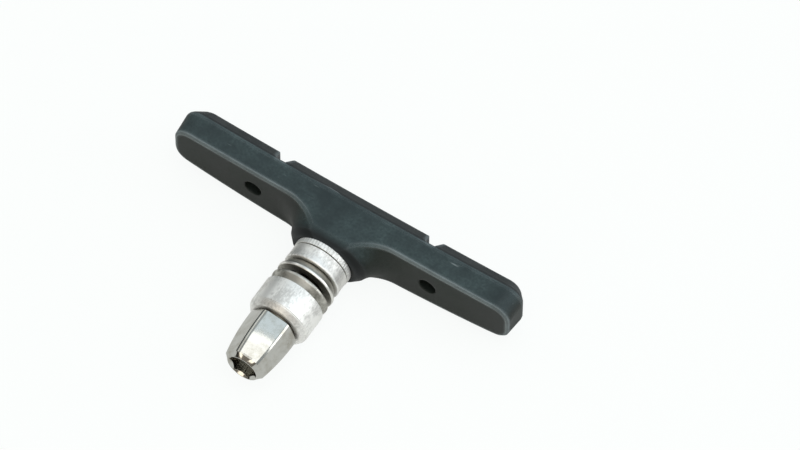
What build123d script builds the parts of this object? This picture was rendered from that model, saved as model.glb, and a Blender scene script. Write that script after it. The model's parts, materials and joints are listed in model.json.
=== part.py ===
from build123d import *
import os
from math import sqrt

os.makedirs("parts", exist_ok=True)

# Frame: X along the pad, +Y out of the braking face, the post runs towards -Y, +Z up.
# The origin is the middle of the braking face, on the axis of the post. Sizes in millimetres.

# Rubber block
pad_length = 72.0          # over the bevel edge
end_rise = 1.9             # how far the ends curve up, to follow the rim
side_half = 6.1            # half height at the bevel edge, in the middle
end_narrowing = 0.95       # the half height is this much less at the ends
bevel_width = 2.2          # the bevels come in by this much to the braking face
side_draft = 0.055         # narrowing of each side per millimetre towards the back
end_draft = 0.14           # the same, at the ends of the sides
bevel_depth = 2.6          # the bevel edge behind the braking face
side_depth = 4.85          # from the bevel edge to the back face
corner_share = 0.62        # corner radius at the bevel edge, as a share of the half height there
face_corner_share = 0.74   # and round the braking face
ridge_round = 0.5          # how far the rounding of the bevel edge and the face edge runs
back_break = 0.35          # broken back edge, and its sweep onto the boss
boss_height = 5.05         # the boss stands this far out of the back
boss_radius = 7.65         # along the pad, at its end, before its edge is broken
boss_oval = 0.78           # its width across the pad, as a share of its width along it
flare_reach = 5.85         # how far the boss's hollow flare reaches out over the back
shoulder_width = 0.85      # broken edge of the boss, across the axis
shoulder_run = 0.9         # and along it
lean_width = 0.5           # the boss's sides lean in by this much at its end
lean_run = 2.3             # over this length

# Grooves across the braking face
groove_offset = 16.0       # middle of each groove from the post
groove_width = 3.3         # at the braking face
groove_floor_width = 2.5
groove_depth = 1.5         # below the braking face

# Holes in the back, down to the strip
hole_offset = 18.7
hole_radius = 1.8
hole_depth = 2.2

# Steel strip inside the rubber
strip_length = 58.0
strip_half = 3.4
strip_thickness = 1.5

# Threaded post
stud_radius = 2.95
stud_in_nut = 4.6          # length of post inside the nut

# Washers: two hollow cups and two domes
bore_gap = 0.3             # round the post in the cups
seat_gap = 0.1             # between each dome and its cup
dome_sphere = 8.0          # radius of the domes
dome_radius = 5.9
dome_rim = 0.85            # height of the straight rim of a dome
dome_bore = 4.0            # wide, so that the dome can tilt round the post
rim_land = 0.25            # narrow flat round the inner cup's seat
inner_radius = 5.75
inner_height = 4.85
flange_thickness = 1.45    # toothed flange against the boss
flange_groove = 0.25       # small step between flange and cup
outer_radius = 6.05
outer_height = 6.2
outer_lip = 1.0            # the outer cup's edge lies this far behind the dome's rim
outer_slope = 0.75         # slanting edge towards the nut, across the axis
outer_slope_run = 1.0      # and along it
arm_gap = 1.75             # space left for the brake arm

# Cap nut
nut_length = 10.6
nut_neck = 0.35            # round neck at the base
nut_neck_radius = 4.3
flat_base = 4.45           # distance of the six flats from the axis at the neck
flat_end = 3.2             # and at the end
flat_swell = 0.35          # how far the flats bulge half way along
nut_corner = 0.4           # length of each flat taken by a broken corner
nut_end_radius = 3.12      # round chamfer at the end: its small radius
nut_end_slope = 0.55       # and its widening per millimetre
nut_clock = 18.0           # how far the nut happens to be turned, in degrees
nut_gap = 0.05             # between nut and washer
nut_bore_gap = 0.05        # running fit on the post
socket_across = 5.0
socket_depth = 2.7
nut_web = 1.0              # solid wall between bore and socket

# Half heights and corners that follow from these
side_half_end = side_half - end_narrowing
face_half = side_half - bevel_width
corner_radius = corner_share * side_half_end
face_corner_radius = face_corner_share * (side_half_end - bevel_width)

# Distances behind the braking face
d_bevel = bevel_depth
d_back = d_bevel + side_depth
d_boss = d_back + boss_height
d_strip_back = d_back - hole_depth
d_strip_front = d_strip_back - strip_thickness
d_inner_rim = d_boss + inner_height
d_inner_centre = d_inner_rim + sqrt((dome_sphere + seat_gap) ** 2 - (inner_radius - rim_land) ** 2)
dome_drop = sqrt(dome_sphere ** 2 - dome_radius ** 2)
d_inner_edge = d_inner_centre - dome_drop
d_inner_flat = d_inner_edge + dome_rim
d_outer_flat = d_inner_flat + arm_gap
d_outer_edge = d_outer_flat + dome_rim
d_outer_centre = d_outer_edge - dome_drop
d_outer_rim = d_outer_edge + outer_lip
d_outer_back = d_outer_rim + outer_height
d_nut_base = d_outer_back + nut_gap
d_nut_end = d_nut_base + nut_length
d_stud_end = d_nut_base + stud_in_nut


def level(depth):
    """A plane across the post, this far behind the braking face."""
    return Plane.XZ.offset(depth)


def outline(length, mid, end, radius):
    """The pad seen along the post: two long arcs, straight ends, round corners."""
    half = length / 2
    rise = end_rise * (length / pad_length) ** 2
    top_right = (half, rise + end)
    low_right = (half, rise - end)
    top_left = (-half, rise + end)
    low_left = (-half, rise - end)
    edges = [
        ThreePointArc(top_left, (0, mid), top_right),
        Line(top_right, low_right),
        ThreePointArc(low_right, (0, -mid), low_left),
        Line(low_left, top_left),
    ]
    sketch = make_face(edges)
    return fillet(sketch.vertices(), radius)


def section(depth, inset, end_inset):
    """The pad's outline drawn in from the bevel edge, as a wire at a depth."""
    share = inset / bevel_width if depth < d_bevel else 0
    radius = corner_radius - share * (corner_radius - face_corner_radius)
    shape = outline(pad_length - 2 * inset, side_half - inset, side_half_end - end_inset, radius)
    return (level(depth) * shape).face().outer_wire()


def rounded(before, corner, after, steps):
    """Sections round a corner of the pad's side, each a (depth, inset, end inset)."""
    points = []
    for step in range(steps + 1):
        t = step / steps
        weights = ((1 - t) ** 2, 2 * t * (1 - t), t ** 2)
        mixed = [sum(w * p[i] for w, p in zip(weights, (before, corner, after))) for i in range(3)]
        points.append(mixed)
    return points


def side_at(depth):
    back = depth - d_bevel
    return (depth, side_draft * back, end_draft * back)


def bevel_at(depth):
    inset = bevel_width * (d_bevel - depth) / bevel_depth
    return (depth, inset, inset)


def pad_form():
    """The block before the boss is freed: sides, bevels and braking face."""
    ridge = rounded(side_at(d_bevel + ridge_round), side_at(d_bevel), bevel_at(d_bevel - ridge_round), 2)
    past = bevel_width + ridge_round
    rim = rounded(bevel_at(ridge_round), bevel_at(0.0), (0.0, past, past), 2)
    wires = [section(*place) for place in [side_at(d_boss)] + ridge + rim]
    return Part() + Solid.make_loft(wires, ruled=True)


def turned(points):
    """Solid turned about the post from a closed run of (radius, depth) points."""
    path = [(radius, -depth) for radius, depth in points]
    profile = make_face(Polyline(*path, close=True))
    return revolve(profile, Axis.Y)


def rod(radius, start, end):
    """Round rod on the axis of the post between two depths."""
    return extrude(level(start) * Circle(radius), end - start)


def ball(radius, depth):
    return Pos(0, -depth, 0) * Sphere(radius)


def flare():
    """Oval boss with a hollow flare that runs out level with the back."""
    reach = boss_radius + flare_reach
    bend = (flare_reach ** 2 + boss_height ** 2) / (2 * boss_height)
    centre = (reach, -(d_back + bend))
    middle = Vector(boss_radius - centre[0], -d_boss - centre[1]) + Vector(0, bend)
    middle = middle.normalized() * bend
    arc = ThreePointArc(
        (boss_radius, -d_boss),
        (centre[0] + middle.X, centre[1] + middle.Y),
        (reach, -d_back),
    )
    rest = Polyline((reach, -d_back), (0, -d_back), (0, -d_boss), (boss_radius, -d_boss))
    return scale(revolve(make_face([arc] + list(rest.edges())), Axis.Y), by=(1, 1, boss_oval))


def shoulder():
    """Ring that breaks the edge of the boss's end."""
    past = 1.0
    narrow = boss_radius - shoulder_width
    wide = boss_radius + past
    front = d_boss - (wide - narrow) * shoulder_run / shoulder_width
    ring = turned([(narrow, d_boss), (wide, front), (wide, d_boss + past), (narrow, d_boss + past)])
    return scale(ring, by=(1, 1, boss_oval))


def lean(side):
    """Wedge that makes the upper or lower side of the boss lean in towards its end."""
    start = d_boss - lean_run
    at_start = side_half - side_at(start)[1]
    at_end = side_half - side_at(d_boss)[1] - lean_width
    slope = (at_start - at_end) / lean_run
    past = 1.0
    wedge = make_face(Polyline(
        (side * (at_start + slope * past), -start + past),
        (side * (at_end - slope * past), -d_boss - past),
        (side * (at_start + 4 * past), -d_boss - past),
        (side * (at_start + 4 * past), -start + past),
        close=True,
    ))
    across = Plane(origin=(0, 0, 0), x_dir=(0, 0, 1), z_dir=(-1, 0, 0))
    return extrude(across * wedge, boss_radius + flare_reach, both=True)


def edges_at(solid, depth):
    return [e for e in solid.edges() if abs(e.center().Y + depth) < 0.01 and e.bounding_box().size.Y < 0.01]


def groove(offset):
    """Channel across the face: its floor follows the face, then falls to the bevel edge."""
    past = 1.0
    bend = face_half - 0.25
    section = make_face(Polyline(
        (-side_half - past, past),
        (-side_half - past, -d_bevel),
        (-side_half, -d_bevel),
        (-bend, -groove_depth),
        (bend, -groove_depth),
        (side_half, -d_bevel),
        (side_half + past, -d_bevel),
        (side_half + past, past),
        close=True,
    ))
    across = Plane(origin=(0, 0, 0), x_dir=(0, 0, 1), z_dir=(-1, 0, 0))
    swath = extrude(across * section, groove_width, both=True)
    slope = (groove_width - groove_floor_width) / 2 / groove_depth
    top = groove_width / 2 + slope * past
    low = max(groove_width / 2 - slope * d_bevel, 0.1 * groove_width)
    walls = make_face(Polyline(
        (-top, past), (top, past), (low, -d_bevel), (-low, -d_bevel), close=True))
    tall = extrude(Plane.XY * walls, 2 * side_half, both=True)
    return Pos(offset, 0, rise_at(offset)) * (swath & tall)


def rise_at(x):
    return end_rise * (2 * x / pad_length) ** 2


def hexagon(apothem):
    return RegularPolygon(apothem, 6, major_radius=False, rotation=-nut_clock)


def nut_section(apothem, depth):
    """Six flats with broken corners, as a wire at a depth."""
    shape = hexagon(apothem)
    shape = chamfer(shape.vertices(), nut_corner)
    return (level(depth) * shape).face().outer_wire()


# The strip and the post that is welded into it
strip = extrude(
    level(d_strip_front) * outline(strip_length, strip_half, strip_half, strip_half - 0.6),
    strip_thickness,
)
strip -= rod(stud_radius, d_strip_front - 1, d_strip_back + 1)

stud = rod(stud_radius, d_strip_front, d_stud_end)
stud = chamfer(edges_at(stud, d_stud_end), 0.5)

# The rubber block
waste = extrude(level(d_back) * Rectangle(2 * pad_length, 8 * side_half), boss_height + 1.0)
waste -= flare()
block = pad_form() - waste

back_edges = []
for edge in block.edges():
    box = edge.bounding_box()
    behind = box.max.Y < -d_back + 0.02
    level_edge = box.size.Y < 0.02
    on_back = abs(edge.center().X) > boss_radius + flare_reach and abs(box.max.Y + d_back) < 0.02
    if behind and (on_back or not level_edge):
        back_edges.append(edge)
block = chamfer(back_edges, back_break)

block -= shoulder()
block -= lean(1)
block -= lean(-1)
for side in (-1, 1):
    block -= groove(side * groove_offset)
    at = Pos(side * hole_offset, 0, rise_at(hole_offset))
    block -= at * rod(hole_radius, d_strip_back, d_back + 1.0)
block -= strip
block -= stud

# The washers, from the boss outwards
stud_bore = stud_radius + bore_gap
seat_sphere = dome_sphere + seat_gap

inner_cup = rod(inner_radius, d_boss, d_inner_rim)
inner_cup -= ball(seat_sphere, d_inner_centre)
inner_cup -= rod(stud_bore, d_boss - 1, d_inner_rim + 1)
step = d_boss + flange_thickness
inner_cup -= rod(inner_radius + 1, step, step + 0.3) - rod(inner_radius - flange_groove, step - 1, step + 1)

inner_dome = rod(dome_radius, d_inner_centre - dome_sphere - 1, d_inner_flat)
inner_dome &= ball(dome_sphere, d_inner_centre)
inner_dome -= rod(dome_bore, d_inner_centre - dome_sphere - 1, d_inner_flat + 1)

outer_dome = rod(dome_radius, d_outer_flat, d_outer_centre + dome_sphere + 1)
outer_dome &= ball(dome_sphere, d_outer_centre)
outer_dome -= rod(dome_bore, d_outer_flat - 1, d_outer_centre + dome_sphere + 1)

outer_cup = turned([
    (0, d_outer_rim),
    (outer_radius, d_outer_rim),
    (outer_radius, d_outer_back - outer_slope_run),
    (outer_radius - outer_slope, d_outer_back),
    (0, d_outer_back),
])
outer_cup -= ball(seat_sphere, d_outer_centre)
outer_cup -= rod(stud_bore, d_outer_rim - 1, d_outer_back + 1)

# The nut: six swelling, slanting flats with broken corners, on a round neck
d_neck = d_nut_base + nut_neck
d_nut_middle = (d_neck + d_nut_end) / 2
nut_bore_depth = nut_length - socket_depth - nut_web
flat_middle = (flat_base + flat_end) / 2 + flat_swell
nut = Part() + Solid.make_loft([
    nut_section(flat_base, d_neck),
    nut_section(flat_middle, d_nut_middle),
    nut_section(flat_end, d_nut_end),
])
wide = flat_base + 1.0
nut &= turned([
    (0, d_neck),
    (wide, d_neck),
    (wide, d_nut_end - (wide - nut_end_radius) / nut_end_slope),
    (nut_end_radius, d_nut_end),
    (0, d_nut_end),
])
nut += rod(nut_neck_radius, d_nut_base, d_neck)
nut -= rod(stud_radius + nut_bore_gap, d_nut_base - 1, d_nut_base + nut_bore_depth)
nut -= extrude(level(d_nut_end) * hexagon(socket_across / 2), -socket_depth)

for name, solid in (
    ("pad_block", block),
    ("backing_plate", strip),
    ("threaded_stud", stud),
    ("inner_cup_washer", inner_cup),
    ("inner_dome_washer", inner_dome),
    ("outer_dome_washer", outer_dome),
    ("outer_cup_washer", outer_cup),
    ("cap_nut", nut),
):
    export_step(solid, f"parts/{name}.step")
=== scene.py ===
# %% [markdown]
# # A bicycle rim brake pad
# A rubber block with a steel strip inside, a threaded post, four washers that let the post tilt in the
# brake arm, and a tapered nut. The CAD model fixes where each piece is and how large it is. This lesson
# adds the looks: surfaces, small edges and grooves, the screw thread and light.
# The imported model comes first, because every later piece is placed by it.

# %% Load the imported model
import json
from math import cos, pi, radians, sin, sqrt

import bmesh
import bpy
from mathutils import Matrix, Vector

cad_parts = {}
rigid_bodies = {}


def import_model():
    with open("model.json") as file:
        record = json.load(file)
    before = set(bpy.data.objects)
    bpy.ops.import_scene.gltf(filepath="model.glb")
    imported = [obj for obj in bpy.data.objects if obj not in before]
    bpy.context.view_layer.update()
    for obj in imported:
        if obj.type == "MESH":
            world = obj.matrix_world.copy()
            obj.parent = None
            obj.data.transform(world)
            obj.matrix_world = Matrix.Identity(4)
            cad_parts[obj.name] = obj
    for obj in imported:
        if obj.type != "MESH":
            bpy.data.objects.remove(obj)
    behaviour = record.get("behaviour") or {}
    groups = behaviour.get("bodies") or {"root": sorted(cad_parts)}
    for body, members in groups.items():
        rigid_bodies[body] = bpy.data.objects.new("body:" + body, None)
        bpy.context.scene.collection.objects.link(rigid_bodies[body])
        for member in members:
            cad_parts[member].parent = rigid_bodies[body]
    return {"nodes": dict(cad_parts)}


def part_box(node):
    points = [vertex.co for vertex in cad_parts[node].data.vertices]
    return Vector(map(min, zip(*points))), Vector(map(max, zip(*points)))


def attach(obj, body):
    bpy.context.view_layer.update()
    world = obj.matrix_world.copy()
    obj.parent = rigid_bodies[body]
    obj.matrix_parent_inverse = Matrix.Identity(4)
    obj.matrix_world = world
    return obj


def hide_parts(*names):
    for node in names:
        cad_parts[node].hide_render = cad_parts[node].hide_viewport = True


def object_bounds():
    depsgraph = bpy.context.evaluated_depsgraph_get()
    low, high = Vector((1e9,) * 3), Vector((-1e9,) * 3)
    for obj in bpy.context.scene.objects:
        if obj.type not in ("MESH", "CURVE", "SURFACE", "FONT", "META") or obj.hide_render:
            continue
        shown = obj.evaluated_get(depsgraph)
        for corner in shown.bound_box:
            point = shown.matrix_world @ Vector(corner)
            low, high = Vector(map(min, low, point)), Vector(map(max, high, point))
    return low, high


for leftover in list(bpy.data.objects):
    bpy.data.objects.remove(leftover)
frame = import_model()
cad_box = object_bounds()
MM = 0.001
print("nodes:", sorted(frame["nodes"]))
print("size in mm:", [round(side / MM, 2) for side in cad_box[1] - cad_box[0]])

# %% [markdown]
# ## Small helpers
# Colours are easier to write as the hex values a paint program shows, but shaders work with linear
# light, so one function converts them. A second one turns the real size of a pattern into a texture's
# scale. A third adds a node of any kind with its settings and inputs, which keeps every material
# short. An input may be given a number, a hex colour, another node or one output of a node. The four
# kinds of node that materials use most have short names.

# %% Colours and scales
def linear(hex_colour):
    """An sRGB hex colour as linear red, green, blue and alpha."""
    shares = [int(hex_colour[i:i + 2], 16) / 255 for i in (1, 3, 5)]
    return [s / 12.92 if s <= 0.04045 else ((s + 0.055) / 1.055) ** 2.4 for s in shares] + [1.0]


def scale_for(size_mm):
    """Texture scale at which a pattern repeats about every size_mm."""
    return 1 / (size_mm * MM)


print("rubber grey in linear light:", [round(c, 3) for c in linear("#30373A")])
print("scale of a pattern of 0.5 mm:", scale_for(0.5))

# %% Nodes
MATH, MIX = "ShaderNodeMath", "ShaderNodeMix"
RANGE, NOISE = "ShaderNodeMapRange", "ShaderNodeTexNoise"


def fill(tree, node, values):
    """Gives a node's inputs their values: a link for another node or its output, else a constant.

    An input goes by its name or its number. Of those that share a name, the one in use is meant, and a
    node stands for its first output in use.
    """
    for key, value in values.items():
        named = [entry for entry in node.inputs if entry.enabled and entry.name == key]
        entry = named[0] if named else node.inputs[key]
        if isinstance(value, bpy.types.Node):
            value = next(output for output in value.outputs if output.enabled)
        if isinstance(value, bpy.types.NodeSocket):
            tree.links.new(value, entry)
        else:
            entry.default_value = linear(value) if isinstance(value, str) else value


def add(tree, kind, values=None, **settings):
    """One new node: its settings first, then its inputs."""
    node = tree.nodes.new(kind)
    for key, setting in settings.items():
        setattr(node, key, setting)
    fill(tree, node, values or {})
    return node


def start_material(name):
    """A material with its tree, its Principled shader and the object coordinates."""
    material = bpy.data.materials.new(name)
    material.use_nodes = True
    tree = material.node_tree
    place = add(tree, "ShaderNodeTexCoord").outputs["Object"]
    return material, tree, tree.nodes["Principled BSDF"], place


print("kinds with short names:", MATH, MIX, RANGE, NOISE)

# %% [markdown]
# ## Moulded rubber
# The block is synthetic rubber pressed in a steel mould. The mould leaves a fine matt skin, mottled in
# clouds. The sides are painted paler and bluer, as the sheen of the sky above them; back and ends are
# painted darker and warmer, as shade; the end of the boss next to the washers and the bevels are
# painted darker still, as shade; and the braking face is ground, so it is paler and browner. Object
# coordinates tell these regions apart, and so does the object's own normal, which points along Z on the
# sides and across it elsewhere.
# The grain of the real skin is about a tenth of a millimetre, too fine for this picture, so it is drawn
# at half a millimetre.

# %% Skin, with painted sheen on the sides and painted shade on the back
rubber, tree, skin, place = start_material("moulded_rubber")
grain = add(tree, NOISE, {"Vector": place, "Scale": scale_for(0.5), "Detail": 3.0})
clouds = add(tree, NOISE, {"Vector": place, "Scale": scale_for(9.0), "Detail": 4.0, "Roughness": 0.6})
cloudy = add(tree, RANGE, {"Value": clouds, "From Min": 0.36, "From Max": 0.7})
speck = add(tree, RANGE, {"Value": grain, "From Min": 0.3, "From Max": 0.75, "To Min": 0.35})
patchy = add(tree, MATH, {0: cloudy, 1: speck}, operation="MULTIPLY")
# The sides are painted paler and bluer, as the sheen of the sky; back and ends darker and warmer, as
# shade. The clouds and specks are the rubber's own mottle.
sky_sheen_side_colour = add(tree, MIX, {"Factor": patchy, "A": "#222E30", "B": "#435354"}, data_type="RGBA")
shaded_back_colour = add(tree, MIX, {"Factor": patchy, "A": "#141A16", "B": "#242C26"}, data_type="RGBA")
normal = add(tree, "ShaderNodeTexCoord").outputs["Normal"]
facing = add(tree, "ShaderNodeSeparateXYZ", {0: normal}).outputs
upward = add(tree, MATH, {0: facing["Z"]}, operation="ABSOLUTE")
facing_across = add(tree, RANGE, {"Value": upward, "From Min": 0.85, "From Max": 0.35})
skin_with_painted_light = add(tree, MIX, {"Factor": facing_across, "A": sky_sheen_side_colour, "B": shaded_back_colour}, data_type="RGBA")
print("rubber nodes so far:", len(tree.nodes))

# %% Painted shade on the bevels, and the ground braking face
bevel_start, bevel_full = -2.7 * MM, -2.5 * MM
ground_start, ground_full = -0.12 * MM, -0.02 * MM
spot = add(tree, "ShaderNodeSeparateXYZ", {0: place}).outputs
on_bevel = add(tree, RANGE, {"Value": spot["Y"], "From Min": bevel_start, "From Max": bevel_full})
# The bevels are painted darker, as shade on faces turned away from the light.
skin_and_bevel_shade = add(tree, MIX, {"Factor": on_bevel, "A": skin_with_painted_light, "B": "#141B1C"}, data_type="RGBA")
ground = add(tree, RANGE, {"Value": spot["Y"], "From Min": ground_start, "From Max": ground_full})
face_colour = add(tree, MIX, {"Factor": speck, "A": "#333736", "B": "#454845"}, data_type="RGBA")
colour = add(tree, MIX, {"Factor": ground, "A": skin_and_bevel_shade, "B": face_colour}, data_type="RGBA")
print("rubber nodes so far:", len(tree.nodes))

# %% [markdown]
# ## Worn edges, partly painted highlight
# Every edge of a rubber moulding is slightly round, and it rubs pale first. Two nodes give both
# without changing the CAD mesh. The Bevel node bends the shading normal near an edge, which makes it
# look round.
# The Ambient Occlusion node, turned to look inside, gets darker where the solid is thin, and that is
# exactly along its outer edges: it tells where to paint the pale edges, partly wear and partly a
# painted highlight, and leaves inner corners alone.
# The braking side is newly ground, so its edges are hardly worn and are painted only faintly pale.
# The pale edges keep a short distance from the rims of the two holes, and the holes are painted nearly
# black, as the shade inside them. A few faint scuffs, drawn as noise that is stretched along the
# block, cross the sides.

# %% Worn edges, partly painted highlight
soft_edge = add(tree, "ShaderNodeBevel", {"Radius": 0.45 * MM}, samples=8)
thickness = add(tree, "ShaderNodeAmbientOcclusion", {"Distance": 0.8 * MM},
                samples=12, inside=True, only_local=True).outputs["AO"]
hole_centre = (18.7 * MM, 0.0, 0.5 * MM)
spared_to, pale_edges_from = 2.6 * MM, 3.0 * MM
mirrored_x = add(tree, MATH, {0: spot["X"]}, operation="ABSOLUTE")
on_back = add(tree, "ShaderNodeCombineXYZ", {"X": mirrored_x, "Z": spot["Z"]})
hole_gap = add(tree, "ShaderNodeVectorMath", {0: on_back, 1: hole_centre}, operation="DISTANCE")
# Pale edges: partly real wear, partly a painted highlight of the light along the edges.
wear_and_highlight = add(tree, RANGE, {"Value": thickness, "From Min": 0.985, "From Max": 0.76})
in_front = add(tree, RANGE, {"Value": on_bevel, "To Min": 1.0, "To Max": 0.3})
off_rims = add(tree, RANGE, {"Value": hole_gap, "From Min": spared_to, "From Max": pale_edges_from})
uneven = add(tree, RANGE, {"Value": clouds, "From Min": 0.25, "From Max": 0.6, "To Min": 0.5})
for share in (in_front, off_rims, uneven):
    wear_and_highlight = add(tree, MATH, {0: wear_and_highlight, 1: share}, operation="MULTIPLY")
print("rubber nodes so far:", len(tree.nodes))

# %% Scuffs and painted shade
wall_start, wall_full = 1.95 * MM, 1.75 * MM
washer_shade_start, washer_shade_full = -10.3 * MM, -11.6 * MM
stretched = add(tree, "ShaderNodeMapping", {"Vector": place, "Rotation": (0.0, 0.0, radians(14)),
                                            "Scale": (0.1, 1.0, 1.0)})
streaks = add(tree, NOISE, {"Vector": stretched, "Scale": scale_for(0.7), "Detail": 2.0,
                            "Distortion": 0.6})
scuffs = add(tree, RANGE, {"Value": streaks, "From Min": 0.7, "From Max": 0.8, "To Max": 0.5})
on_side = add(tree, MATH, {0: 1.0, 1: facing_across}, operation="SUBTRACT")
marks = add(tree, MATH, {0: scuffs, 1: on_side}, operation="MULTIPLY")
pale = add(tree, MATH, {0: wear_and_highlight, 1: marks}, operation="MAXIMUM")
worn_and_highlight_colour = add(tree, MIX, {"Factor": pale, "A": colour, "B": "#8C9799"}, data_type="RGBA")
# The holes are painted nearly black, as the shade inside them.
bored = add(tree, RANGE, {"Value": hole_gap, "From Min": wall_start, "From Max": wall_full})
in_hole = add(tree, MATH, {0: bored, 1: on_bevel}, operation="SUBTRACT", use_clamp=True)
hole_shaded_colour = add(tree, MIX, {"Factor": in_hole, "A": worn_and_highlight_colour, "B": "#1C211C"}, data_type="RGBA")
# The end of the boss next to the inner cup is painted nearly black, as the shade between the parts.
washer_shade = add(tree, RANGE, {"Value": spot["Y"], "From Min": washer_shade_start, "From Max": washer_shade_full,
                                "To Max": 0.92})
washer_shaded_colour = add(tree, MIX, {"Factor": washer_shade, "A": hole_shaded_colour, "B": "#0D1112"}, data_type="RGBA")
print("rubber nodes so far:", len(tree.nodes))

# %% Gloss and pits
gloss = add(tree, RANGE, {"Value": clouds, "From Min": 0.3, "From Max": 0.7,
                          "To Min": 0.48, "To Max": 0.62})
pits = add(tree, "ShaderNodeBump", {"Strength": 0.35, "Distance": 0.03 * MM, "Height": grain,
                                    "Normal": soft_edge})
fill(tree, skin, {"Base Color": washer_shaded_colour, "Roughness": gloss, "Normal": pits,
                  "IOR": 1.52, "Specular IOR Level": 0.25})
print("rubber nodes:", len(tree.nodes))

# %% [markdown]
# ## Phosphated steel
# The strip inside the block is sheet steel with a dark phosphate coat, which lets the rubber bond to
# it. Only two small discs of it show, at the bottom of the holes where pins held it in the mould.

# %% Coated strip
strip_steel, tree, coat, place = start_material("phosphated_sheet_steel")
crystals = add(tree, "ShaderNodeTexVoronoi", {"Vector": place, "Scale": scale_for(0.35)})
coat_colour = add(tree, MIX, {"Factor": crystals, "A": "#1F201F", "B": "#3A3A37"}, data_type="RGBA")
fill(tree, coat, {"Base Color": coat_colour, "Metallic": 0.6, "Roughness": 0.62})
print("strip:", strip_steel.name)

# %% [markdown]
# ## Tumbled aluminium
# The two cup washers are turned from aluminium and tumbled with stones until their tool marks are
# almost gone. That leaves a pale satin metal, peppered with small dull dents, about half a millimetre
# wide and drawn out a little along the axis. The dents scatter the light, so both the colour and the
# roughness follow them.

# %% Cup metal
def satin_metal(name, pale, dull, dent_mm, roughness, draw=1.0):
    """A satin metal whose dents are duller and rougher than the ground between them."""
    material, tree, metal, place = start_material(name)
    drawn = add(tree, "ShaderNodeMapping", {"Vector": place, "Scale": (1.0, draw, 1.0)})
    dents = add(tree, NOISE, {"Vector": drawn, "Scale": scale_for(dent_mm), "Detail": 5.0,
                              "Roughness": 0.65})
    patches = add(tree, NOISE, {"Vector": place, "Scale": scale_for(4.0), "Detail": 2.0})
    both = add(tree, MATH, {0: dents, 1: patches}, operation="MULTIPLY")
    share = add(tree, RANGE, {"Value": both, "From Min": 0.2, "From Max": 0.36})
    colour = add(tree, MIX, {"Factor": share, "A": pale, "B": dull}, data_type="RGBA")
    smoothest, roughest = roughness
    gloss = add(tree, RANGE, {"Value": share, "To Min": smoothest, "To Max": roughest})
    bump = add(tree, "ShaderNodeBump", {"Strength": 0.3, "Distance": 0.02 * MM, "Height": dents})
    fill(tree, metal, {"Base Color": colour, "Roughness": gloss, "Normal": bump, "Metallic": 1.0})
    return material


aluminium = satin_metal("tumbled_aluminium", "#EFEEEA", "#CECDC9", 0.4, (0.48, 0.6), draw=0.5)
print("cups:", aluminium.name)

# %% [markdown]
# ## Plated steel
# The domes are pressed from steel sheet and zinc plated, which leaves a browner and darker metal than
# the cups; a paler copy of it paints the highlight on the inner dome's rim. The post is steel too,
# painted dark as the shade in the gap between the domes; the same dark steel paints the shade in narrow
# grooves and in the nut's neck. The nut is polished and nickel plated: a mirror, a little wavy because
# it was tumbled before plating.

# %% Domes, post and nut
zinc = satin_metal("zinc_plated_steel", "#BAB8B0", "#8D8B83", 0.8, (0.38, 0.52))
# A paler zinc, for the painted highlight on the inner dome's rim.
zinc_rim_highlight = satin_metal("zinc_plate_with_painted_highlight", "#E4E2DC", "#C9C7C0", 0.8, (0.34, 0.45))
# A dark steel that paints shade: on the post, in the cup's groove and in the nut's neck.
shade_steel = satin_metal("steel_painted_as_shade", "#6B675D", "#34322D", 0.7, (0.3, 0.5))
nickel = satin_metal("nickel_plated_steel", "#B6B5AF", "#A19E95", 1.6, (0.1, 0.17))
print("plated:", zinc.name, zinc_rim_highlight.name, shade_steel.name, nickel.name)

# %% [markdown]
# ## CAD pieces that keep their shape
# The block and the strip have the right shape already. They only take their finishes.

# %% Dress the block and the strip
for name, material in (("pad_block", rubber), ("backing_plate", strip_steel)):
    mesh = frame["nodes"][name].data
    mesh.materials.clear()
    mesh.materials.append(material)
print("dressed:", [m.name for m in frame["nodes"]["pad_block"].data.materials])

# %% [markdown]
# ## Rings
# Washers and nut are all rings round the post. A ring is a list of rows, each a radius and a distance
# behind the braking face, and every row of vertices is joined to the next. A washer's last row joins
# its first; the nut's rows start and end on the axis instead. The radius may also be a function of the
# angle, and that one change makes the six-sided nut from the same function as the round washers.
# A lathe (the Screw modifier) could make the washers, but not the nut.

# %% A ring from its rows
def finish_piece(name, mesh, body, node, crease=35):
    """Outward faces, smooth shading with sharp creases, a place on its body, and the CAD node it
    replaces hidden.
    """
    work = bmesh.new()
    work.from_mesh(mesh)
    bmesh.ops.remove_doubles(work, verts=work.verts, dist=1e-7)
    bmesh.ops.recalc_face_normals(work, faces=work.faces)
    work.to_mesh(mesh)
    work.free()
    mesh.polygons.foreach_set("use_smooth", [True] * len(mesh.polygons))
    mesh.set_sharp_from_angle(angle=radians(crease))
    piece = bpy.data.objects.new(name, mesh)
    bpy.context.scene.collection.objects.link(piece)
    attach(piece, body)
    if node:
        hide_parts(node)
    print(name, "faces:", len(mesh.polygons))


def ring_mesh(name, rows, materials, sides=144, turn=0.0, closed=True, marked=()):
    """Skin through rows of (radius, depth) in millimetres round the post, closed into a ring or not.

    The faces that start at a marked row take the second material.
    """
    points = []
    for radius, depth in rows:
        for side in range(sides):
            angle = turn + 2 * pi * side / sides
            reach = radius(angle - turn) if callable(radius) else radius
            points.append(Vector((reach * cos(angle), -depth, reach * sin(angle))) * MM)
    faces = []
    for row in range(len(rows) if closed else len(rows) - 1):
        here, there = row * sides, (row + 1) % len(rows) * sides
        for side in range(sides):
            along = (side + 1) % sides
            faces.append((here + side, here + along, there + along, there + side))
    mesh = bpy.data.meshes.new(name)
    mesh.from_pydata(points, [], faces)
    for material in materials:
        mesh.materials.append(material)
    for face in mesh.polygons:
        row = face.index // sides
        face.material_index = int(row in marked)
    return mesh


# %% [markdown]
# ## Round edges
# No real washer has a sharp edge, and the thin highlight on a round one is what makes it look solid.
# Each corner of a profile is swapped for a short curve between its two sides. The CAD solids leave
# these out, because they would only add faces.

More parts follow.
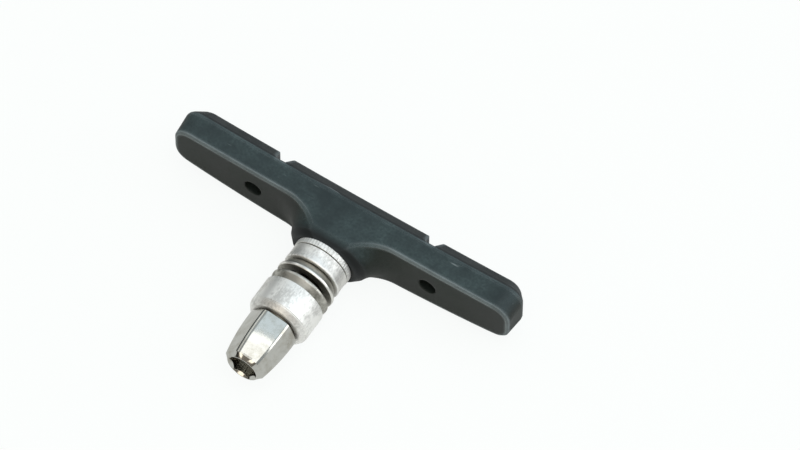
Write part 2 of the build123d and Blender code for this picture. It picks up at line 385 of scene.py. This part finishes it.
# %% Soften a profile
def soften(profile, usual, steps=4):
    """Swaps each corner of a closed profile for a curve.

    The curve starts and ends at the usual reach from the corner, or at the point's own third number.
    Corners that hardly turn stay as they are.
    """
    slight_turn = radians(20)
    longest_share = 0.45
    points = [Vector(point[:2]) for point in profile]
    soft = []
    for i, corner in enumerate(points):
        reach = profile[i][2] if len(profile[i]) > 2 else usual
        back = points[i - 1] - corner
        ahead = points[(i + 1) % len(points)] - corner
        if back.angle(-ahead) < slight_turn:
            soft.append(corner)
            continue
        start = corner + back.normalized() * min(reach, longest_share * back.length)
        end = corner + ahead.normalized() * min(reach, longest_share * ahead.length)
        for step in range(steps + 1):
            t = step / steps
            soft.append(start * (1 - t) ** 2 + corner * 2 * t * (1 - t) + end * t ** 2)
    return [tuple(point) for point in soft]


def seat(sphere, centre, side, start, end, steps=10):
    """Points of a ball-shaped seat between two radii; side -1 lies towards the braking face."""
    radii = [start + (end - start) * step / steps for step in range(steps + 1)]
    return [(radius, centre + side * sqrt(sphere ** 2 - radius ** 2)) for radius in radii]


print("a softened square has", len(soften([(0, 0), (1, 0), (1, 1), (0, 1)], 0.2)), "points")

# %% [markdown]
# ## Inner cup washer
# It stands on the end of the boss. Its flange has teeth that bite into the rubber, a narrow groove
# parts the flange from the cup, a slight waist leaves a low ridge round the lip, and the hollow seat
# takes the first dome. The lip is drawn a little lower than in the CAD solid, to show more of the dome.

# %% Inner cup
low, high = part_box("inner_cup_washer")
cup_radius, cup_foot, cup_rim = high.x / MM, -high.y / MM, -low.y / MM
post_hole = 3.25
seat_ball = 8.1
rim_width = 0.25
lip_drop = 0.55
flange_height = 1.2
groove_width, groove_depth = 0.2, 0.15
waist_depth = 0.08
ridge_width, ridge_slope, waist_slope = 0.5, 0.35, 0.5
inner_centre = cup_rim + sqrt(seat_ball ** 2 - (cup_radius - rim_width) ** 2)
lip = cup_rim - lip_drop
seat_edge = sqrt(seat_ball ** 2 - (inner_centre - lip) ** 2)
groove_top = cup_foot + flange_height
groove_end = groove_top + groove_width
groove_floor = cup_radius - groove_depth
waist = cup_radius - waist_depth
profile = [
    (post_hole, cup_foot),
    (cup_radius, cup_foot, 0.2),
    (cup_radius, groove_top),
    (groove_floor, groove_top),
    (groove_floor, groove_end),
    (cup_radius, groove_end),
    (waist, groove_end + waist_slope),
    (waist, lip - ridge_width - ridge_slope),
    (cup_radius, lip - ridge_width),
    (cup_radius, lip, 0.2),
] + seat(seat_ball, inner_centre, -1, seat_edge, post_hole)
rows = soften(profile, usual=0.05)
hair = 0.01
# The groove's faces take the dark steel, as painted shade in the groove.
groove_rows = [row for row, (radius, depth) in enumerate(rows)
               if radius < waist - 2 * hair and groove_top - hair < depth < groove_end + hair]
mesh = ring_mesh("inner_cup", rows, (aluminium, shade_steel), marked=groove_rows)
finish_piece("inner_cup", mesh, "pad", "inner_cup_washer")

# %% [markdown]
# ## Dome washers
# Two of the same pressing, one each side of the brake arm: flat towards the arm, ball-shaped towards
# its cup. Between the two lies a narrow rim, and a slanting band that leads down to the ball. Each flat
# face stands a quarter of a millimetre further out than in the CAD solid, which still leaves the two
# apart when the nut is tightened. Wide holes let the domes tilt round the post. The inner one's rim
# is painted paler, as a highlight.

# %% Domes
dome_ball = 8.0
dome_hole = 4.0
dome_foot = 5.25
rim_height = 0.55
proud = 0.24
highlight_reach, highlight_margin = 0.2, 0.05
for name, node, body, side in (
    ("inner_dome_skin", "inner_dome_washer", "inner_dome", -1),
    ("outer_dome_skin", "outer_dome_washer", "outer_dome", 1),
):
    low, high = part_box(node)
    dome_radius = high.x / MM
    flat = -low.y / MM if side < 0 else -high.y / MM
    tip = -high.y / MM if side < 0 else -low.y / MM
    centre = tip - side * sqrt(dome_ball ** 2 - dome_hole ** 2)
    face = flat - side * proud
    profile = [
        (dome_hole, face),
        (dome_radius, face, 0.22),
        (dome_radius, face + side * rim_height, 0.1),
    ] + seat(dome_ball, centre, side, dome_foot, dome_hole)
    rows = soften(profile, usual=0.16)
    highlight_rows = [row for row, (radius, depth) in enumerate(rows)
              if radius > dome_radius - highlight_reach and abs(depth - face) < rim_height - highlight_margin]
    # The inner dome's rim takes the paler zinc: a painted highlight.
    rim_rows = highlight_rows if side < 0 else ()
    mesh = ring_mesh(name, rows, (zinc, zinc_rim_highlight), marked=rim_rows)
    finish_piece(name, mesh, body, node)

# %% [markdown]
# ## Outer cup washer
# The nut presses on the thicker cup. Its far edge slants in to the nut, and a hair-fine turned line
# parts the slanting ring from the cylinder.

# %% Outer cup
low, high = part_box("outer_cup_washer")
outer_radius, outer_rim, outer_back = high.x / MM, -high.y / MM, -low.y / MM
outer_low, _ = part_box("outer_dome_washer")
outer_centre = -outer_low.y / MM - sqrt(dome_ball ** 2 - dome_hole ** 2)
mouth = sqrt(seat_ball ** 2 - (outer_rim - outer_centre) ** 2)
rim_forward = 0.1
slant_depth, slant_run = 0.75, 1.0
line_depth, line_half, line_shift = 0.12, 0.1, 0.02
line = outer_back - slant_run
profile = [
    (outer_radius, outer_rim - rim_forward, 0.1),
    (outer_radius, line - 2 * line_half),
    (outer_radius - line_depth, line - line_half, 0.03),
    (outer_radius - line_shift, line, 0.15),
    (outer_radius - slant_depth, outer_back, 0.3),
    (post_hole, outer_back),
] + seat(seat_ball, outer_centre, 1, post_hole, mouth)
mesh = ring_mesh("outer_cup_skin", soften(profile, usual=0.12), (aluminium,))
finish_piece("outer_cup_skin", mesh, "outer_cup", "outer_cup_washer")

# %% [markdown]
# ## Nut
# Six flats swell and lean in towards the end, with crisp corners between them. The chamfered end is
# six-sided where it starts and round where it stops. A cone-shaped mouth leads the key into a hexagon
# socket, and an undercut neck, painted dark as the shade under the nut, stands on the washer. Polishing
# has left the flats slightly crowned, which spreads the reflections in them. All rows share the same
# angles, with a corner at every sixth of the turn, so the socket's sharp corners fall on vertices.

# %% Nut outline
low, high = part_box("cap_nut")
nut_foot, nut_end = -high.y / MM, -low.y / MM
flat_turn = radians(80)
neck_flat, end_flat, swell = 4.45, 3.52, 0.3
crown = 30.0
edge_break = 0.62


def crowned(flat, off):
    """Radius of one crowned flat at an angle off its middle."""
    middle = flat - crown
    return middle * cos(off) + sqrt(crown ** 2 - (middle * sin(off)) ** 2)


def six_sided(flat):
    """Radius of a crowned hexagon with broken corners, as a function of the angle."""
    def radius(angle):
        off = abs((angle + pi / 6) % (pi / 3) - pi / 6)
        here, beside = crowned(flat, off), crowned(flat, pi / 3 - off)
        near = max(edge_break - abs(here - beside), 0.0) / edge_break
        return min(here, beside) - edge_break * near ** 2 / 4
    return radius


def hexagon(flat):
    """Radius of a sharp hexagon, as a function of the angle from the middle of a flat."""
    return lambda angle: flat / cos((angle + pi / 6) % (pi / 3) - pi / 6)


def flat_at(share):
    """Distance of the flats from the axis, from the neck (0) to the end (1)."""
    return neck_flat * (1 - share) + end_flat * share + 4 * swell * share * (1 - share)


def blended(outline, circle, share):
    """Radius between an outline (share 0) and a circle (share 1)."""
    return lambda angle: outline(angle) * (1 - share) + circle * share


def widened(outline, limit):
    """Radius of an outline, but nowhere less than a limit."""
    return lambda angle: max(outline(angle), limit)


print("flats at the neck, middle and end:", [round(flat_at(share), 2) for share in (0, 0.5, 1)])

# %% Nut rows
neck, neck_radius, neck_step = 0.35, 4.3, 0.12
end_radius, end_run = 3.15, 0.75
bore, socket_half, lead_in = 3.0, 2.5, 2.98
socket_depth, bore_gap = 2.7, 1.0
socket_floor = nut_end - socket_depth
bore_floor = socket_floor - bore_gap
edge_share, flat_steps, end_steps = 0.012, 16, 8
mouth_steps, mouth_step = 9, 0.06
length = nut_end - nut_foot - neck
chamfer_share = 1 - end_run / length
rows = [
    (0.0, bore_floor),
    (bore, bore_floor),
    (bore, nut_foot),
    (neck_radius, nut_foot),
    (neck_radius, nut_foot + neck),
    (six_sided(neck_flat - neck_step), nut_foot + neck),
]
# The neck's faces take the dark steel, as painted shade under the nut.
neck_rows = (3, 4)
for share in [edge_share] + [step / flat_steps * chamfer_share for step in range(1, flat_steps + 1)]:
    rows.append((six_sided(flat_at(share)), nut_foot + neck + share * length))
last = six_sided(flat_at(chamfer_share))
for step in range(1, end_steps + 1):
    share = step / end_steps
    rows.append((blended(last, end_radius, share), nut_end - end_run * (1 - share)))
for step in range(mouth_steps):
    sunk = mouth_step * step
    rows.append((widened(hexagon(socket_half), lead_in - sunk), nut_end - sunk))
rows += [(hexagon(socket_half), socket_floor), (0.0, socket_floor)]
mesh = ring_mesh("nut_skin", rows, (nickel, shade_steel), sides=240, turn=flat_turn,
                 closed=False, marked=neck_rows)
finish_piece("nut_skin", mesh, "nut", "cap_nut", crease=28)

# %% [markdown]
# ## Screw thread
# The post has an M6 thread: one millimetre of rise per turn, right handed. A thread is a profile
# carried along a spiral, which is what Geometry Nodes do best: a spiral curve, a trapezoid that Curve
# to Mesh carries along it, and a core. Curve to Mesh lays a profile's X along the curve's normal, so
# the trapezoid is turned a quarter round to point its narrow side outwards. The sizes are inputs of
# the tree, so another screw is only new numbers.

# %% Thread tree
def new_tree(name, inputs):
    """An empty geometry tree: the tree, the sockets of its inputs and their identifiers."""
    tree = bpy.data.node_groups.new(name, "GeometryNodeTree")
    tree.interface.new_socket("Geometry", in_out="OUTPUT", socket_type="NodeSocketGeometry")
    keys = {}
    for label in inputs:
        socket_type = "NodeSocketInt" if label == "Count" else "NodeSocketFloat"
        socket = tree.interface.new_socket(label, in_out="INPUT", socket_type=socket_type)
        keys[label] = socket.identifier
    return tree, add(tree, "NodeGroupInput").outputs, keys


def close_tree(tree, geometry, material):
    """Ends a tree: real geometry, its material, and the output."""
    real = add(tree, "GeometryNodeRealizeInstances", {0: geometry})
    dressed = add(tree, "GeometryNodeSetMaterial", {"Geometry": real, "Material": material})
    add(tree, "NodeGroupOutput", {0: dressed})


def grow(tree, keys, values):
    """Runs a tree with these input values and gives its result as a plain mesh."""
    holder = bpy.data.objects.new(tree.name, bpy.data.meshes.new(tree.name))
    bpy.context.scene.collection.objects.link(holder)
    modifier = holder.modifiers.new(tree.name, "NODES")
    modifier.node_group = tree
    for label, value in values.items():
        modifier[keys[label]] = value
    view = bpy.context.evaluated_depsgraph_get()
    mesh = bpy.data.meshes.new_from_object(holder.evaluated_get(view))
    holder.modifiers.remove(modifier)
    bpy.data.objects.remove(holder)
    return mesh


thread_tree, size, thread_keys = new_tree("thread", ("Length", "Pitch", "Root radius", "Thread depth"))
turns = add(thread_tree, MATH, {0: size["Length"], 1: size["Pitch"]}, operation="DIVIDE")
half_depth = add(thread_tree, MATH, {0: size["Thread depth"], 1: 0.5}, operation="MULTIPLY")
middle = add(thread_tree, MATH, {0: size["Root radius"], 1: half_depth}, operation="ADD")
spiral = add(thread_tree, "GeometryNodeCurveSpiral", {
    "Resolution": 40, "Rotations": turns, "Start Radius": middle, "End Radius": middle,
    "Height": size["Length"], "Reverse": False,
})
upright = add(thread_tree, "GeometryNodeSetCurveNormal", {0: spiral}, mode="Z_UP")
root_share, crest_share = 0.86, 0.14
root_width = add(thread_tree, MATH, {0: size["Pitch"], 1: root_share}, operation="MULTIPLY")
crest_width = add(thread_tree, MATH, {0: size["Pitch"], 1: crest_share}, operation="MULTIPLY")
tooth = add(thread_tree, "GeometryNodeCurvePrimitiveQuadrilateral", {
    "Height": size["Thread depth"], "Bottom Width": root_width, "Top Width": crest_width, "Offset": 0.0,
}, mode="TRAPEZOID")
quarter_turn = radians(90)
turned = add(thread_tree, "GeometryNodeTransform",
             {"Geometry": tooth, "Rotation": (0.0, 0.0, quarter_turn)})
ridge = add(thread_tree, "GeometryNodeCurveToMesh",
            {"Curve": upright, "Profile Curve": turned, "Fill Caps": True})
print("thread inputs:", list(thread_keys))

# %% Core of the post
core = add(thread_tree, "GeometryNodeMeshCylinder", {
    "Vertices": 64, "Radius": size["Root radius"], "Depth": size["Length"],
}, fill_type="NGON")
half_length = add(thread_tree, MATH, {0: size["Length"], 1: 0.5}, operation="MULTIPLY")
lift = add(thread_tree, "ShaderNodeCombineXYZ", {"Z": half_length})
raised = add(thread_tree, "GeometryNodeTransform", {"Geometry": core, "Translation": lift})
screw = add(thread_tree, "GeometryNodeJoinGeometry", {0: raised})
thread_tree.links.new(ridge.outputs[0], screw.inputs[0])
# The post takes the dark steel, as painted shade in the gap between the domes.
close_tree(thread_tree, screw, shade_steel)

low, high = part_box("threaded_stud")
end_gap = 0.7 * MM
post_mesh = grow(thread_tree, thread_keys, {
    "Length": high.y - low.y - 2 * end_gap,
    "Pitch": 1.0 * MM,
    "Root radius": 2.42 * MM,
    "Thread depth": 0.5 * MM,
})
widest = max(Vector((v.co.x, v.co.y)).length for v in post_mesh.vertices)
print("post: widest", round(widest / MM, 3), "mm of", round(high.x / MM, 3))

# %% [markdown]
# The tree builds the post standing on the origin. Its mesh is turned to lie along the post's own axis
# and moved to its place, so that the object itself stays at the origin.

# %% Lay the post down
lie_down = Matrix.Rotation(quarter_turn, 4, "X")
post_mesh.transform(Matrix.Translation((0, high.y - end_gap, 0)) @ lie_down)
finish_piece("threaded_post", post_mesh, "pad", "threaded_stud")

# %% [markdown]
# ## Teeth of the flange
# The teeth are short round ribs, all alike, at equal steps round the flange. Instances on the points
# of a circle give them, and one number changes how many there are.

# %% Rib tree
rib_tree, size, rib_keys = new_tree("ribs", ("Count", "Circle radius", "Rib radius", "Rib length"))
circle = add(rib_tree, "GeometryNodeMeshCircle",
             {"Vertices": size["Count"], "Radius": size["Circle radius"]})
rib = add(rib_tree, "GeometryNodeMeshCylinder", {
    "Vertices": 10, "Radius": size["Rib radius"], "Depth": size["Rib length"],
}, fill_type="NGON")
ribs = add(rib_tree, "GeometryNodeInstanceOnPoints", {"Points": circle, "Instance": rib})
close_tree(rib_tree, ribs, aluminium)
rib_inset, rib_length, rib_start = 0.15, 1.05, 0.1
ribs_mesh = grow(rib_tree, rib_keys, {
    "Count": 60,
    "Circle radius": (cup_radius - rib_inset) * MM,
    "Rib radius": 0.2 * MM,
    "Rib length": rib_length * MM,
})
rib_middle = cup_foot + rib_start + rib_length / 2
ribs_mesh.transform(Matrix.Translation((0, -rib_middle * MM, 0)) @ lie_down)
finish_piece("flange_teeth", ribs_mesh, "pad", None)

# %% [markdown]
# ## Camera
# The picture was taken from far away with a long lens, above and to the front right. The place and the
# lens were found by matching the edges of the block and the rings of the washers.

# %% Camera
azimuth, elevation, roll = radians(32.46), radians(59.88), radians(0.51)
back = Vector((sin(azimuth) * cos(elevation), -cos(azimuth) * cos(elevation), sin(elevation)))
level = Vector((cos(azimuth), sin(azimuth), 0))
right = level * cos(roll) + back.cross(level) * sin(roll)
up = back.cross(right)
camera = bpy.data.objects.new("camera", bpy.data.cameras.new("camera"))
bpy.context.scene.collection.objects.link(camera)
turn = Matrix((right, up, back)).transposed().to_4x4()
camera_place = Vector((346.95, -532.73, 1090.06)) * MM
camera.matrix_world = Matrix.Translation(camera_place) @ turn
camera.data.sensor_width = 36
camera.data.lens = 315
camera.data.clip_start = 0.05
camera.data.clip_end = 20
bpy.context.scene.camera = camera
print("camera distance in mm:", round(camera.location.length / MM, 1))

# %% [markdown]
# ## Floor and light
# The pad lies on its side on a white sheet. Rays from the camera and from shiny metal see the sheet
# partly as plain white, and the rest of it takes light and shadow as usual. The room is dark near the
# horizon, warm in front and pale blue behind and above, so that polished metal shows all of these. A
# white soft light hangs overhead with a smaller one in front of it, a blue one behind, one at each
# side, and a low warm one in front draws a line of light on every edge that faces it.

# %% White floor
floor_mesh = bpy.data.meshes.new("floor")
reach = 4.0
floor_gap = 0.02 * MM
floor_z = cad_box[0].z - floor_gap
corners = ((-1, -1), (1, -1), (1, 1), (-1, 1))
floor_mesh.from_pydata([(x * reach, y * reach, floor_z) for x, y in corners], [], [(0, 1, 2, 3)])
floor = bpy.data.objects.new("floor", floor_mesh)
bpy.context.scene.collection.objects.link(floor)
sheet, tree, paper, _ = start_material("white_sheet")
fill(tree, paper, {"Base Color": "#F4F5F4", "Roughness": 0.9, "Specular IOR Level": 0.0})
plain_white = "#FDFFFE"
camera_share, glint_share = 0.92, 0.3
ray = add(tree, "ShaderNodeLightPath").outputs
glint = add(tree, MATH, {0: ray["Is Glossy Ray"], 1: ray["Is Transmission Ray"]}, operation="MAXIMUM")
by_camera = add(tree, MATH, {0: ray["Is Camera Ray"], 1: camera_share}, operation="MULTIPLY")
by_glint = add(tree, MATH, {0: glint, 1: glint_share}, operation="MULTIPLY")
seen = add(tree, MATH, {0: by_camera, 1: by_glint}, operation="MAXIMUM")
white = add(tree, "ShaderNodeEmission", {"Color": plain_white, "Strength": 1.0})
mixed = add(tree, "ShaderNodeMixShader", {0: seen, 1: paper, 2: white})
fill(tree, tree.nodes["Material Output"], {"Surface": mixed})
floor_mesh.materials.append(sheet)
print("floor in mm:", round(floor_z / MM, 2))

# %% Room
world = bpy.data.worlds.new("room")
bpy.context.scene.world = world
world.use_nodes = True
tree = world.node_tree
ray = add(tree, "ShaderNodeLightPath").outputs
direction = add(tree, "ShaderNodeTexCoord").outputs["Generated"]
towards = add(tree, "ShaderNodeSeparateXYZ", {0: direction}).outputs
horizon_tilt, horizon_height = 0.22, 0.22
tilted = add(tree, MATH, {0: towards["X"], 1: horizon_tilt, 2: towards["Z"]}, operation="MULTIPLY_ADD")
rise = add(tree, RANGE, {"Value": tilted, "From Min": 0.0, "From Max": horizon_height})
behind = add(tree, RANGE, {"Value": towards["Y"], "From Min": -0.6, "From Max": 0.3})
sky = add(tree, MIX, {"Factor": behind, "A": "#99938A", "B": "#CBD5DB"}, data_type="RGBA")
walls = add(tree, MIX, {"Factor": rise, "A": "#2E2C24", "B": sky}, data_type="RGBA")
room = add(tree, "ShaderNodeBackground", {"Color": walls, "Strength": 1.0})
plain = add(tree, "ShaderNodeBackground", {"Color": plain_white, "Strength": 1.0})
mixed = add(tree, "ShaderNodeMixShader", {0: ray["Is Camera Ray"], 1: room, 2: plain})
fill(tree, tree.nodes["World Output"], {"Surface": mixed})
print("world:", world.name)

# %% Lights
for name, place, size, power, tint in (
    ("overhead", (0.24, -0.01, 0.77), (0.95, 0.4), 2.15, "#FFFFFF"),
    ("over_front", (0.22, -0.34, 0.68), (0.6, 0.2), 0.5, "#FFFFFF"),
    ("behind", (0.25, 0.4, 0.78), (0.9, 0.38), 0.9, "#D6E7F4"),
    ("right_side", (0.75, 0.37, 0.24), (0.5, 0.5), 1.7, "#FFFFFF"),
    ("left_side", (-0.55, 0.14, 0.5), (0.14, 0.75), 0.36, "#FFF8EC"),
    ("front", (-0.06, -0.78, 0.38), (0.45, 0.3), 1.05, "#FFF6E8"),
):
    lamp = bpy.data.lights.new(name, "AREA")
    lamp.shape = "RECTANGLE"
    lamp.size, lamp.size_y = size
    lamp.energy = power
    lamp.color = linear(tint)[:3]
    light = bpy.data.objects.new(name, lamp)
    outward = Vector(place).normalized()
    width = Vector((0, 1, 0)).cross(outward).normalized()
    height = outward.cross(width)
    turn = Matrix((width, height, outward)).transposed().to_4x4()
    light.matrix_world = Matrix.Translation(place) @ turn
    bpy.context.scene.collection.objects.link(light)
bpy.context.scene.view_settings.view_transform = "Standard"

# %% [markdown]
# The box of the CAD model is printed, in millimetres.

# %% Sizes and finish
print("cad", [[round(c / MM, 2) for c in v] for v in cad_box])
